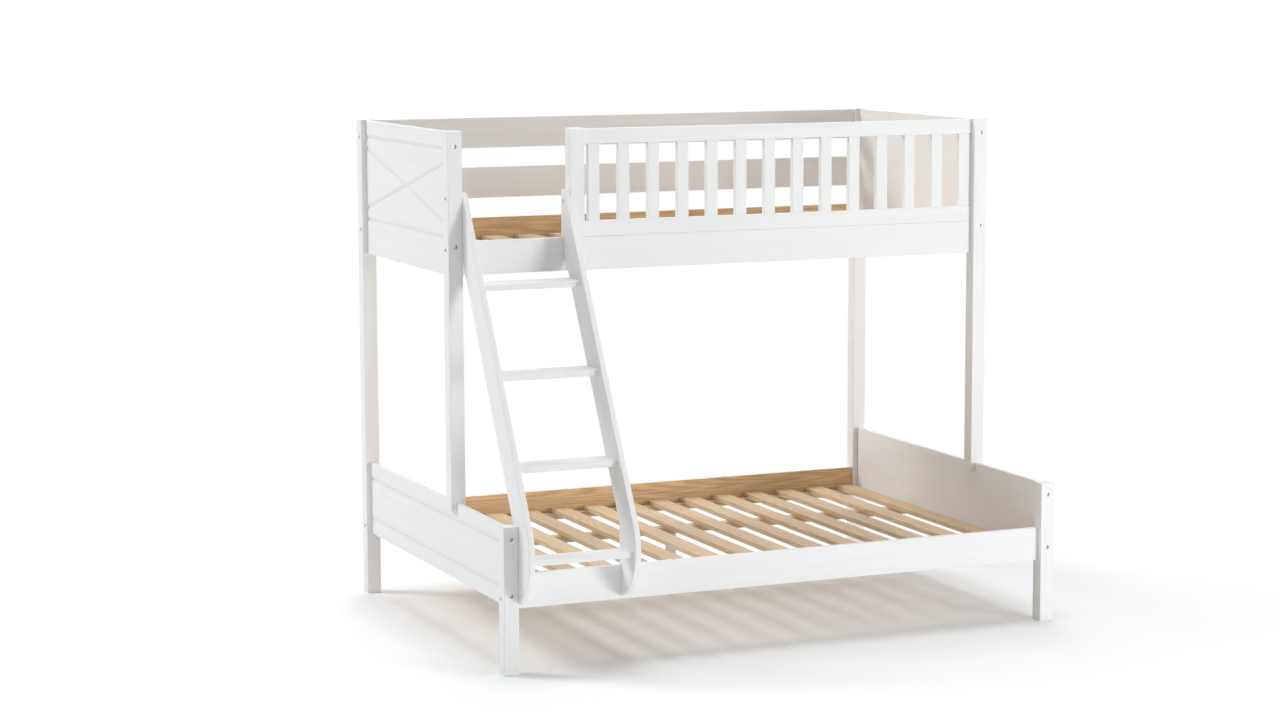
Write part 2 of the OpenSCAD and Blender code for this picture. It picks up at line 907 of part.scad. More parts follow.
module lower_support_leg() {
    color(paint) placed() difference() {
        translate([(bed_l - beam_leg_w) / 2, beam_y, 0]) cube([beam_leg_w, beam_w, beam_z]);
        leg_screw_places() screw_hole(leg_screw_l);
    }
}

// Hardware in place

module panel_ends() {
    both_ends() {
        panel_end(lower_panel_bolts) children();
        translate([0, upper_front_y, 0]) panel_end(upper_panel_bolts) children();
        from_rear() panel_end(concat(lower_panel_bolts, upper_panel_bolts)) children();
    }
}

module panel_end(heights) {
    for (z = heights) translate([0, 0, z]) children();
}

module board_ends() {
    both_ends() {
        for (b = [lower_front, lower_rear, upper_front, upper_rear, top_board]) board_end(b) children();
    }
    mirrored_x() for (b = [guard_top, guard_bottom]) board_end(b) children();
}

module board_end(b) {
    at_board(b) for (z = bolt_heights(b)) translate([0, 0, z]) children();
}

module panel_bolts() {
    color(steel) placed() panel_ends() along_y([post / 2, 0, 0]) bolt(bolt_l, recess_depth);
}

module panel_nuts() {
    color(steel) placed() panel_ends()
        along_x([panel_x + panel_nut_wall + over / 2, post + nut_setback, 0])
            cross_nut(panel_nut_l, post / 2 - panel_x - panel_nut_wall - over / 2);
}

module rail_bolts() {
    color(steel) placed() board_ends() along_x([0, rail_t / 2, 0]) bolt(bolt_l, recess_depth);
}

module rail_nuts() {
    color(steel) placed() board_ends()
        along_y([post + nut_setback, rail_nut_wall + over / 2, 0]) rotate([0, 0, 90])
            cross_nut(rail_nut_l, rail_t / 2 - rail_nut_wall - over / 2);
}

module ladder_bolts() {
    color(steel) placed() {
        along_x([0, ladder_left_bolt_y, ladder_left_bolt_z])
            bolt(post - recess_depth + insert_l, recess_depth);
        along_x([guard_post_x - stringer_t, ladder_right_bolt_y, ladder_right_bolt_z])
            bolt(stringer_t - ladder_recess_depth + insert_l + bolt_tip, ladder_recess_depth);
    }
}

module ladder_inserts() {
    color(steel) placed() {
        along_x([post, ladder_left_bolt_y, ladder_left_bolt_z]) threaded_insert();
        along_x([guard_post_x, ladder_right_bolt_y, ladder_right_bolt_z]) threaded_insert();
    }
}

module frame_dowels() {
    color(beech) placed() {
        both_ends() {
            for (b = [lower_front, lower_rear, upper_front, upper_rear, middle_board, top_board]) {
                at_board(b) for (z = dowel_heights(b)) {
                    along_x([post - dowel_l / 2, rail_t / 2, z]) dowel();
                }
            }
            foot_dowel_place() dowel();
            beam_dowel_places() dowel();
        }
        guard_dowel_places() dowel();
    }
}

module ledger_screws() {
    color(steel) placed() {
        for (b = [lower_front, lower_rear, upper_front, upper_rear]) {
            at_board(b) ledger_screw_places() screw(ledger_screw_l);
        }
    }
}

module guard_post_screws() {
    color(steel) placed() lap_screw_places() screw(lap_screw_l);
}

module support_leg_screws() {
    color(steel) placed() leg_screw_places() screw(leg_screw_l);
}

rear_left_post();
rear_right_post();
upper_front_left_post();
upper_front_right_post();
lower_front_left_leg();
lower_front_right_leg();
upper_left_end_panel();
upper_right_end_panel();
lower_left_end_panel();
lower_right_end_panel();
lower_front_rail();
lower_rear_rail();
upper_front_rail();
upper_rear_rail();
rear_middle_board();
rear_top_board();
lower_front_ledger();
lower_rear_ledger();
upper_front_ledger();
upper_rear_ledger();
guard_post();
guard_top_rail();
guard_bottom_rail();
guard_uprights();
ladder_left_stringer();
ladder_right_stringer();
ladder_rung_1();
ladder_rung_2();
ladder_rung_3();
ladder_rung_4();
upper_slats();
upper_slat_tapes();
upper_slat_staples();
lower_slats();
lower_slat_tapes();
lower_slat_staples();
lower_support_beam();
lower_support_leg();
panel_bolts();
panel_nuts();
rail_bolts();
rail_nuts();
ladder_bolts();
ladder_inserts();
frame_dowels();
ledger_screws();
guard_post_screws();
support_leg_screws();
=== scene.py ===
"""Bunk bed in white painted pine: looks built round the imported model, in metres."""
import json
import math

import bmesh
import bpy
from mathutils import Matrix, Vector

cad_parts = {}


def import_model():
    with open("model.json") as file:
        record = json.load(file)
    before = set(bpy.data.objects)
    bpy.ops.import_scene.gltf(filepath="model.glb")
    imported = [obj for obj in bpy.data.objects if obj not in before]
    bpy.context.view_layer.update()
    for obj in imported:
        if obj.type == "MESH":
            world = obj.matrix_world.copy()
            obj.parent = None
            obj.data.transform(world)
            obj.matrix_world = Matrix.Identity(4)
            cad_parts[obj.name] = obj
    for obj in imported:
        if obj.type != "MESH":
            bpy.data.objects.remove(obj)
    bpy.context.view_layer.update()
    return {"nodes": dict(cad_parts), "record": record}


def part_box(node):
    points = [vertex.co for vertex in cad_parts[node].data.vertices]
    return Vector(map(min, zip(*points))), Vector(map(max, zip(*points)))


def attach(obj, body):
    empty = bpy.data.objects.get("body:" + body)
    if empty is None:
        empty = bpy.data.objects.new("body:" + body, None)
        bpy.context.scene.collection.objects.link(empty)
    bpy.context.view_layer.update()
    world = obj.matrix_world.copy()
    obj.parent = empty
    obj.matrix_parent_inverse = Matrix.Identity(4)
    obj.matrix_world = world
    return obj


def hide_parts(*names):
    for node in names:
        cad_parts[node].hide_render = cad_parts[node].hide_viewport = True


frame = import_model()
NODES = frame["nodes"]
BODY = {n: body for body, names in frame["record"]["behaviour"]["bodies"].items() for n in names}
SCENE = bpy.context.scene

# Colours as linear values
WHITE = (0.86, 0.862, 0.858)
PINE_LIGHT = (0.71, 0.54, 0.36)
PINE_DARK = (0.55, 0.365, 0.205)
RAIL_LIGHT = (0.86, 0.62, 0.38)
RAIL_DARK = (0.52, 0.325, 0.16)
BEECH = (0.62, 0.42, 0.25)
BEECH_DARK = 0.8
TAPE = (0.70, 0.68, 0.62)
ZINC = (0.80, 0.81, 0.82)

# Paint: how far its grain is squeezed, noise scales, how dark the grain is, and the painted shade in the
# grooves
PAINT_STRETCH = 0.04
PAINT_BAND_SCALE = 60.0
PAINT_FIBRE_SCALE = 520.0
PAINT_LAYERS = (0.7, 0.3)
PAINT_RANGE = (0.30, 0.62)
PAINT_GRAIN = 0.965
PAINT_BUMP = 0.16
PAINT_ROUGHNESS = 0.58
PAINT_SPECULAR = 0.22
# Painted shade in the grooves: how far it reaches, its samples, its gain and how grey it gets
GROOVE_SHADE_REACH = 0.016
GROOVE_SHADE_SAMPLES = 8
GROOVE_SHADE_GAIN = 1.7
GROOVE_SHADE_GREY = 0.62

# Bare wood: noise scales, how far the bands wander, their number, and the weight of each layer
WOOD_STRETCH = 0.045
WOOD_WARP_SCALE = 9.0
WOOD_WARP = 0.05
WOOD_FIELD_SCALE = 13.0
WOOD_BANDS = 170.0
WOOD_FIBRE_SCALE = 620.0
WOOD_STREAK_SCALE = 120.0
WOOD_PATCH_SCALE = 6.0
WOOD_WEIGHTS = {"rings": 0.16, "fibre": 0.30, "streak": 0.34, "patch": 0.28}
WOOD_RANGE = (0.36, 0.68)
WOOD_BUMP = 0.25
WOOD_ROUGHNESS = 0.5
WOOD_SPECULAR = 0.3
WOOD_SEED = 1.3
RAIL_SEED = 3.7
BOARD_SEEDS = 40.0
BOARD_TONE = (0.90, 0.16)

# Relief of the grain on wood and paint, and the cosine from which a side counts as facing a way
FIBRE_RELIEF = 0.6
GRAIN_DEPTH = 0.0004
FACING = 0.9

# Metal, plastic and tape: noise scales, and how dark the low places are
ZINC_SCALE = 900.0
ZINC_SHADE = 0.85
ZINC_METALLIC = 0.6
ZINC_ROUGHNESS = (0.25, 0.15)
CAP_SCALE = 1500.0
CAP_SHADE = 0.98
CAP_ROUGHNESS = 0.35
WEAVE_SCALE = 160.0
WEAVE_SHADE = 0.75
WEAVE_ROUGHNESS = 0.85

# Easing of the outer corners
EDGE = 0.0018
SLAT_EDGE = 0.0025
RUNG_EDGE = 0.003
EDGE_STEPS = 2

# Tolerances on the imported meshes
WELD = 1e-5
BOX_SLACK = 1e-4

# Shading of the eased corners: reach past the easing, and limits on the cosine between faces
EASING_REACH = 1.02
SQUARE = 0.999
RIM = (0.05, 0.995)
SAME_FACE = 0.94
SAME_EASING = 0.3
NEXT_FACE = 0.6

# Slats and ladder as built
SLAT_COUNT = 15
SLAT_W = 0.070
LADDER_RUN = 0.480
LADDER_RISE = 0.868

# Cover caps: radius and height above the panel, from the rim to the crown
CAP_SIDES = 32
CAP_PROFILE = [(0.0070, 0.0), (0.0070, 0.0006), (0.0064, 0.0011), (0.0045, 0.0015), (0.0020, 0.0017)]
CAP_CREASE = 50

# Floor: the half axes of the ellipse round the bed, and where in it the fade to white starts and ends
FLOOR_SIZE = 60.0
FLOOR_COLOUR = (0.915, 0.937, 0.955)
FLOOR_AXES = (2.1, 1.9)
FLOOR_FADE = (0.55, 1.15)
FLOOR_LIFT = 0.04
FLOOR_ROUGHNESS = 0.9
AMBIENT = 0.30

# Lamps: name, azimuth, elevation, distance, width, power
LAMPS = [
    ("key", 31.5, 2.0, 8.0, 3.0, 300.0),
    ("left_rear", -122.0, 34.0, 16.0, 6.0, 1060.0),
    ("left", -85.0, 38.0, 16.0, 7.0, 90.0),
    ("right_rear", 155.0, 50.0, 14.0, 9.0, 560.0),
    ("top", 0.0, 90.0, 9.0, 5.6, 345.0),
]
LAMP_TARGET = (0, 0, 0.8)

# Camera: place, then heading, tilt and roll in degrees, and focal length on a 36 mm wide film
CAMERA_PLACE = (-4.3252, -9.4192, 2.2624)
CAMERA_ANGLES = (23.372, 7.446, -0.184)
FILM_WIDTH = 36.0
FOCAL_LENGTH = 81.82
CLIP = (0.1, 100.0)


# Node helpers

def add(tree, kind, **inputs):
    """Adds a shader node and sets its sockets by name; a socket given as a value is linked."""
    n = tree.nodes.new("ShaderNode" + kind)
    for name, value in inputs.items():
        put(tree, n, name.replace("_", " "), value)
    return n


def put(tree, n, socket, value):
    """Sets the socket of that name or number, or links it where the value is a socket itself."""
    target = n.inputs[socket] if not socket.isdigit() else n.inputs[int(socket)]
    if isinstance(value, bpy.types.NodeSocket):
        tree.links.new(value, target)
    else:
        target.default_value = value


def colour(rgb):
    """A colour with full opacity."""
    return (rgb[0], rgb[1], rgb[2], 1.0)


def dimmed(rgb, factor):
    """A darker tone of a colour."""
    return tuple(factor * c for c in rgb)


def math_node(tree, operation, a, b=None):
    """The result of one arithmetic step on values or sockets."""
    n = tree.nodes.new("ShaderNodeMath")
    n.operation = operation
    put(tree, n, "0", a)
    if b is not None:
        put(tree, n, "1", b)
    return n.outputs[0]


def vector_math(tree, operation, a, b=None):
    """A node for one step on vectors."""
    n = tree.nodes.new("ShaderNodeVectorMath")
    n.operation = operation
    put(tree, n, "0", a)
    if b is not None:
        put(tree, n, "1", b)
    return n


def weighted(tree, layers):
    """The sum of several sockets, each times its weight."""
    total = None
    for socket, weight in layers:
        part = math_node(tree, "MULTIPLY", socket, weight)
        total = part if total is None else math_node(tree, "ADD", total, part)
    return total


def mix_colour(tree, factor, a, b, blend="MIX"):
    """Two colours mixed by a factor."""
    n = tree.nodes.new("ShaderNodeMix")
    n.data_type = "RGBA"
    n.blend_type = blend
    put(tree, n, "0", factor)
    put(tree, n, "6", a)
    put(tree, n, "7", b)
    return n.outputs[2]


def noise(tree, vector, scale, detail=4.0, rough=0.55, distortion=0.0):
    """Noise from 0 to 1, with its scale per metre."""
    n = add(tree, "TexNoise", Vector=vector, Scale=scale, Detail=detail, Roughness=rough,
            Distortion=distortion)
    return n.outputs["Fac"]


def ramp(tree, factor, stops):
    """A colour that runs through the stops, each a place and a colour."""
    n = tree.nodes.new("ShaderNodeValToRGB")
    put(tree, n, "Fac", factor)
    elements = n.color_ramp.elements
    while len(elements) < len(stops):
        elements.new(0.5)
    for e, (place, rgb) in zip(elements, stops):
        e.position = place
        e.color = colour(rgb)
    return n.outputs["Color"]


def bump(tree, height, strength, distance):
    """The surface normal raised by a height."""
    return add(tree, "Bump", Strength=strength, Distance=distance, Height=height).outputs[0]


def place_on_object(tree):
    """The object coordinates."""
    return add(tree, "TexCoord").outputs["Object"]


def new_material(name):
    """A new material, its node tree and its main shader."""
    m = bpy.data.materials.new(name)
    m.use_nodes = True
    tree = m.node_tree
    return m, tree, tree.nodes["Principled BSDF"]


def along(tree, axis, stretch, tilt=0.0):
    """Object coordinates with the grain axis squeezed, so that a texture draws out along the grain."""
    co = place_on_object(tree)
    if tilt:
        turn = tree.nodes.new("ShaderNodeVectorRotate")
        turn.rotation_type = "X_AXIS"
        put(tree, turn, "Vector", co)
        put(tree, turn, "Angle", tilt)
        co = turn.outputs[0]
    scale = [1.0, 1.0, 1.0]
    scale["XYZ".index(axis)] = stretch
    return add(tree, "Mapping", Vector=co, Scale=tuple(scale)).outputs[0]


def facing(tree, direction):
    """1 where the surface faces the given direction, and 0 elsewhere."""
    normal = tree.nodes.new("ShaderNodeNewGeometry").outputs["True Normal"]
    dot = vector_math(tree, "DOT_PRODUCT", normal, direction)
    return math_node(tree, "GREATER_THAN", dot.outputs["Value"], FACING)


# Materials

def pine_colour(tree, vector, light, dark, seed):
    """Growth bands, fine fibre and slow patches along the grain. vector is already squeezed."""
    warp = noise(tree, vector, WOOD_WARP_SCALE, 2.0)
    drift = math_node(tree, "MULTIPLY", warp, WOOD_WARP)
    shift = add(tree, "CombineXYZ", X=drift, Y=seed, Z=drift)
    at = vector_math(tree, "ADD", vector, shift.outputs[0]).outputs[0]
    field = noise(tree, at, WOOD_FIELD_SCALE, 1.5, 0.4)
    rings = math_node(tree, "SINE", math_node(tree, "MULTIPLY", field, WOOD_BANDS))
    rings = math_node(tree, "ADD", math_node(tree, "MULTIPLY", rings, 0.5), 0.5)
    fibre = noise(tree, at, WOOD_FIBRE_SCALE, 3.0, 0.7)
    streak = noise(tree, at, WOOD_STREAK_SCALE, 2.0, 0.6)
    patch = noise(tree, at, WOOD_PATCH_SCALE, 2.0)
    layers = {"rings": rings, "fibre": fibre, "streak": streak, "patch": patch}
    tone = weighted(tree, [(layers[name], weight) for name, weight in WOOD_WEIGHTS.items()])
    return ramp(tree, tone, [(WOOD_RANGE[0], dark), (WOOD_RANGE[1], light)]), rings, fibre


def grain_bump(tree, fibre, rings, strength):
    """The relief of fibre and growth bands."""
    height = math_node(tree, "ADD", math_node(tree, "MULTIPLY", fibre, FIBRE_RELIEF), rings)
    return bump(tree, height, strength, GRAIN_DEPTH)


def painted_groove_shade(tree, base):
    """Painted shade: the paint turned greyer where the surface near it closes in, as in the grooves."""
    open_part = tree.nodes.new("ShaderNodeAmbientOcclusion")
    open_part.only_local = True
    open_part.samples = GROOVE_SHADE_SAMPLES
    put(tree, open_part, "Distance", GROOVE_SHADE_REACH)
    # How much painted shade falls here: more where the surface closes in
    closed = math_node(tree, "SUBTRACT", 1.0, open_part.outputs["AO"])
    closed = math_node(tree, "MULTIPLY", closed, GROOVE_SHADE_GAIN)
    return mix_colour(tree, closed, base, colour(dimmed(WHITE, GROOVE_SHADE_GREY)))


def painted(name, axis, tilt=0.0, inner=None, shaded_grooves=False):
    """White satin paint with a faint grain. inner is the direction of a side left natural; with the grooves
    flag set, painted shade darkens the grooves.
    """
    m, tree, bsdf = new_material(name)
    vector = along(tree, axis, PAINT_STRETCH, tilt)
    rings = noise(tree, vector, PAINT_BAND_SCALE, 3.0, 0.5, 0.6)
    fibre = noise(tree, vector, PAINT_FIBRE_SCALE, 3.0, 0.6)
    grain = weighted(tree, zip((rings, fibre), PAINT_LAYERS))
    base = ramp(tree, grain, [(PAINT_RANGE[0], dimmed(WHITE, PAINT_GRAIN)), (PAINT_RANGE[1], WHITE)])
    if inner:
        bare = pine_colour(tree, vector, RAIL_LIGHT, RAIL_DARK, RAIL_SEED)[0]
        base = mix_colour(tree, facing(tree, inner), base, bare)
    # Painted shade in the grooves, darker where the surface closes in
    if shaded_grooves:
        base = painted_groove_shade(tree, base)
    put(tree, bsdf, "Base Color", base)
    bsdf.inputs["Roughness"].default_value = PAINT_ROUGHNESS
    bsdf.inputs["Specular IOR Level"].default_value = PAINT_SPECULAR
    put(tree, bsdf, "Normal", grain_bump(tree, fibre, rings, PAINT_BUMP))
    return m


def board_random(tree, pitch, first):
    """A random value from 0 to 1 for each board of a row along X."""
    x = add(tree, "SeparateXYZ", Vector=place_on_object(tree)).outputs["X"]
    from_first = math_node(tree, "SUBTRACT", x, first)
    index = math_node(tree, "FLOOR", math_node(tree, "DIVIDE", from_first, pitch))
    white = tree.nodes.new("ShaderNodeTexWhiteNoise")
    white.noise_dimensions = "1D"
    put(tree, white, "W", index)
    return white.outputs["Value"]


def natural(name, axis, light=PINE_LIGHT, dark=PINE_DARK, pitch=None, first=0.0):
    """Clear lacquered pine. With a pitch, each board in the row has its own grain and tone."""
    m, tree, bsdf = new_material(name)
    vector = along(tree, axis, WOOD_STRETCH)
    if pitch:
        chance = board_random(tree, pitch, first)
        seed = math_node(tree, "MULTIPLY", chance, BOARD_SEEDS)
    else:
        seed = WOOD_SEED
    base, rings, fibre = pine_colour(tree, vector, light, dark, seed)
    if pitch:
        lowest, spread = BOARD_TONE
        factor = math_node(tree, "ADD", math_node(tree, "MULTIPLY", chance, spread), lowest)
        grey = add(tree, "CombineColor", Red=factor, Green=factor, Blue=factor).outputs[0]
        base = mix_colour(tree, 1.0, base, grey, "MULTIPLY")
    put(tree, bsdf, "Base Color", base)
    bsdf.inputs["Roughness"].default_value = WOOD_ROUGHNESS
    bsdf.inputs["Specular IOR Level"].default_value = WOOD_SPECULAR
    put(tree, bsdf, "Normal", grain_bump(tree, fibre, rings, WOOD_BUMP))
    return m


def cap_plastic():
    """White moulded plastic with a faint matt texture."""
    m, tree, bsdf = new_material("white_cap_plastic")
    grain = noise(tree, place_on_object(tree), CAP_SCALE, 2.0)
    put(tree, bsdf, "Base Color", ramp(tree, grain, [(0.2, dimmed(WHITE, CAP_SHADE)), (0.8, WHITE)]))
    bsdf.inputs["Roughness"].default_value = CAP_ROUGHNESS
    put(tree, bsdf, "Normal", bump(tree, grain, 0.1, 0.0001))
    return m


def zinc():
    """Zinc plated steel with a slightly uneven gloss."""
    m, tree, bsdf = new_material("zinc_plated_steel")
    grain = noise(tree, place_on_object(tree), ZINC_SCALE, 3.0)
    put(tree, bsdf, "Base Color", ramp(tree, grain, [(0.3, dimmed(ZINC, ZINC_SHADE)), (0.7, ZINC)]))
    bsdf.inputs["Metallic"].default_value = ZINC_METALLIC
    lowest, spread = ZINC_ROUGHNESS
    rough = math_node(tree, "ADD", math_node(tree, "MULTIPLY", grain, spread), lowest)
    put(tree, bsdf, "Roughness", rough)
    return m


def webbing():
    """Plain woven tape."""
    m, tree, bsdf = new_material("woven_tape")
    co = place_on_object(tree)
    waves = []
    for direction in ("X", "Y"):
        w = tree.nodes.new("ShaderNodeTexWave")
        w.bands_direction = direction
        put(tree, w, "Vector", co)
        put(tree, w, "Scale", WEAVE_SCALE)
        waves.append(w.outputs["Fac"])
    weave = math_node(tree, "MULTIPLY", waves[0], waves[1])
    put(tree, bsdf, "Base Color", ramp(tree, weave, [(0.1, dimmed(TAPE, WEAVE_SHADE)), (0.7, TAPE)]))
    bsdf.inputs["Roughness"].default_value = WEAVE_ROUGHNESS
    put(tree, bsdf, "Normal", bump(tree, weave, 0.5, 0.0003))
    return m


# Shapes with eased corners

def welded(node):
    """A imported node's mesh with the corners of neighbouring faces joined."""
    mesh = bmesh.new()
    mesh.from_mesh(NODES[node].data)
    bmesh.ops.remove_doubles(mesh, verts=mesh.verts, dist=WELD)
    return mesh


def islands(mesh):
    """The lowest and highest corner of each separate piece of wood in the mesh."""
    left = set(mesh.verts)
    while left:
        group = []
        stack = [left.pop()]
        while stack:
            vert = stack.pop()
            group.append(vert.co)
            for edge in vert.link_edges:
                other = edge.other_vert(vert)
                if other in left:
                    left.discard(other)
                    stack.append(other)
        yield ([min(p[i] for p in group) for i in range(3)], [max(p[i] for p in group) for i in range(3)])


def round_off(blank, faces, width):
    """Rounds off the edges of the given faces."""
    edges = sorted({e for f in faces for e in f.edges},
                   key=lambda e: tuple(e.verts[0].co) + tuple(e.verts[1].co))
    bmesh.ops.bevel(blank, geom=edges, offset=width, offset_type="OFFSET", segments=EDGE_STEPS, profile=0.5,
                    affect="EDGES", clamp_overlap=False)


def eased_box(blank, lo, hi, width):
    """Adds to blank a box whose twelve edges are rounded off."""
    corners = [blank.verts.new((x, y, z))
               for x in (lo[0], hi[0]) for y in (lo[1], hi[1]) for z in (lo[2], hi[2])]
    sides = [(0, 1, 3, 2), (4, 6, 7, 5), (0, 4, 5, 1), (2, 3, 7, 6), (0, 2, 6, 4), (1, 5, 7, 3)]
    faces = [blank.faces.new([corners[i] for i in side]) for side in sides]
    round_off(blank, faces, width)


def ring_area(ring):
    """The area inside a ring of points that lies flat across X."""
    return abs(sum(p.y * q.z - q.y * p.z for p, q in zip(ring, ring[1:] + ring[:1]))) / 2


def outline(mesh, x):
    """The corners of the widest closed edge of the flat side at x."""
    side = {f for f in mesh.faces if all(abs(v.co.x - x) < WELD for v in f.verts)}
    ways = {}
    for face in side:
        for loop in face.loops:
            if sum(f in side for f in loop.edge.link_faces) == 1:
                ways[loop.vert] = loop.link_loop_next.vert
    rings = []
    while ways:
        start = min(ways, key=lambda v: tuple(v.co))
        ring = [start]
        while ways.get(ring[-1]) not in (None, start):
            ring.append(ways.pop(ring[-1]))
        ways.pop(ring[-1], None)
        rings.append([v.co.copy() for v in ring])
    return max(rings, key=ring_area)


def eased_plate(blank, mesh, lo, hi, width):
    """Adds to blank a plate with the piece's own outline, the edges of both flat sides rounded off."""
    ring = max((outline(mesh, x) for x in (lo[0], hi[0])), key=ring_area)
    left, right = ([blank.verts.new((x, p.y, p.z)) for p in ring] for x in (lo[0], hi[0]))
    caps = [blank.faces.new(left), blank.faces.new(right[::-1])]
    for i in range(len(ring)):
        j = (i + 1) % len(ring)
        blank.faces.new((left[j], left[i], right[i], right[j]))
    bmesh.ops.recalc_face_normals(blank, faces=blank.faces)
    round_off(blank, caps, width)


def as_object(name, mesh):
    """Turns a working mesh into an object of the scene."""
    data = bpy.data.meshes.new(name)
    mesh.to_mesh(data)
    mesh.free()
    ob = bpy.data.objects.new(name, data)
    SCENE.collection.objects.link(ob)
    return ob


def common(ob, blank):
    """Keeps of ob what lies inside the blank."""
    cut = ob.modifiers.new("cut", "BOOLEAN")
    cut.operation = "INTERSECT"
    cut.object = blank
    cut.solver = "MANIFOLD"
    bpy.context.view_layer.update()
    result = bpy.data.meshes.new_from_object(ob.evaluated_get(bpy.context.evaluated_depsgraph_get()))
    ob.modifiers.clear()
    old = ob.data
    ob.data = result
    bpy.data.meshes.remove(old)
    bpy.data.objects.remove(blank)
    result.name = ob.name


def eased_faces(data, boxes, width, plate):
    """For each face, whether it belongs to the easing rather than to a flat side."""
    reach = width * EASING_REACH

    def near_edge(co):
        """Whether a point lies within reach of an edge of one of the boxes."""
        for lo, hi in boxes:
            gaps = [min(abs(co[i] - lo[i]), abs(co[i] - hi[i])) for i in range(3)]
            inside = all(lo[i] - BOX_SLACK < co[i] < hi[i] + BOX_SLACK for i in range(3))
            if inside and sorted(gaps)[1] < reach:
                return True
        return False

    eased = []
    for face in data.polygons:
        n = face.normal
        if plate:
            eased.append(RIM[0] < abs(n.x) < RIM[1])
        elif max(abs(n.x), abs(n.y), abs(n.z)) > SQUARE:
            eased.append(False)
        else:
            eased.append(all(near_edge(data.vertices[v].co) for v in face.vertices))
    return eased


def shade(data, boxes, width, plate):
    """Flat faces stay flat, and the easing turns smoothly from one flat face to the next."""
    eased = eased_faces(data, boxes, width, plate)
    around = [[] for _ in data.vertices]
    for face in data.polygons:
        for v in face.vertices:
            around[v].append(face.index)
    normals = [face.normal.copy() for face in data.polygons]
    areas = [face.area for face in data.polygons]

    def blended(v, normal, kind, within):
        """The mean normal of the faces of a kind round a corner that turn little from the given one."""
        total = Vector()
        for f in around[v]:
            if eased[f] == kind and normals[f].dot(normal) > within:
                total += normals[f] * (1.0 if kind else areas[f])
        return total.normalized() if total.length > 1e-12 else None

    loops = []
    for face in data.polygons:
        n = normals[face.index]
        for v in face.vertices:
            if not eased[face.index]:
                loops.append(blended(v, n, False, SAME_FACE) or n)
                continue
            flat = [f for f in around[v] if not eased[f] and normals[f].dot(n) > NEXT_FACE]
            if flat:
                best = max(flat, key=lambda f: normals[f].dot(n))
                loops.append(blended(v, normals[best], False, SAME_FACE) or n)
            else:
                loops.append(blended(v, n, True, SAME_EASING) or n)
    data.polygons.foreach_set("use_smooth", [True] * len(data.polygons))
    data.normals_split_custom_set(loops)


def rounded(node, width, plate=False):
    """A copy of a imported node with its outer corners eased, shown in the node's place."""
    mesh = welded(node)
    boxes = list(islands(mesh))
    blank = bmesh.new()
    if plate:
        eased_plate(blank, mesh, *boxes[0], width)
    else:
        for lo, hi in boxes:
            eased_box(blank, lo, hi, width)
    ob = as_object(node + "_eased", mesh)
    common(ob, as_object("blank", blank))
    shade(ob.data, boxes, width, plate)
    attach(ob, BODY[node])
    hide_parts(node)
    return ob


def cover_caps():
    """Low domed caps that close the barrel nuts' bores on the inner faces of the end panels."""
    mesh = bmesh.new()
    turns = [2 * math.pi * i / CAP_SIDES for i in range(CAP_SIDES)]
    for lo, hi in islands(welded("panel_nuts")):
        side = -1.0 if lo[0] < 0 else 1.0
        panel = "upper_left_end_panel" if side < 0 else "upper_right_end_panel"
        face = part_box(panel)[1].x if side < 0 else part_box(panel)[0].x
        centre = Vector((face, (lo[1] + hi[1]) / 2, (lo[2] + hi[2]) / 2))
        rings = []
        for radius, proud in CAP_PROFILE:
            rings.append([mesh.verts.new(centre + Vector((-side * proud, radius * math.cos(t),
                                                          radius * math.sin(t)))) for t in turns])
        for near, far in zip(rings, rings[1:]):
            for i in range(CAP_SIDES):
                j = (i + 1) % CAP_SIDES
                mesh.faces.new((near[i], near[j], far[j], far[i]))
        mesh.faces.new(rings[0])
        mesh.faces.new(rings[-1])
    bmesh.ops.recalc_face_normals(mesh, faces=mesh.faces)
    ob = as_object("cover_caps", mesh)
    ob.data.polygons.foreach_set("use_smooth", [True] * len(ob.data.polygons))
    ob.data.set_sharp_from_angle(angle=math.radians(CAP_CREASE))
    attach(ob, "frame")
    return ob


def dress(material, names, edge=0.0, plate=False):
    """Gives the named nodes a material, on a copy with eased corners where an edge width is given."""
    for name in names:
        ob = rounded(name, edge, plate) if edge else NODES[name]
        ob.data.materials.clear()
        ob.data.materials.append(material)


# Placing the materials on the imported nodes

slat_lo, slat_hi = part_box("upper_slats")
slat_pitch = (slat_hi.x - slat_lo.x - SLAT_W) / (SLAT_COUNT - 1)
slat_first = slat_lo.x - (slat_pitch - SLAT_W) / 2
ladder_lean = math.atan2(LADDER_RUN, LADDER_RISE)

paint_x = painted("white_paint_x", "X")
paint_z = painted("white_paint_z", "Z")
dress(paint_z, ["rear_left_post", "rear_right_post", "upper_front_left_post",
                               "upper_front_right_post", "lower_front_left_leg", "lower_front_right_leg",
                               "guard_post", "guard_uprights", "lower_support_leg"], EDGE)
dress(paint_x,
      ["guard_top_rail", "guard_bottom_rail", "rear_middle_board", "rear_top_board"], EDGE)
dress(paint_x, ["ladder_rung_1", "ladder_rung_2", "ladder_rung_3", "ladder_rung_4"],
      RUNG_EDGE, plate=True)
dress(painted("white_paint_ladder", "Z", tilt=ladder_lean),
      ["ladder_left_stringer", "ladder_right_stringer"], RUNG_EDGE, plate=True)
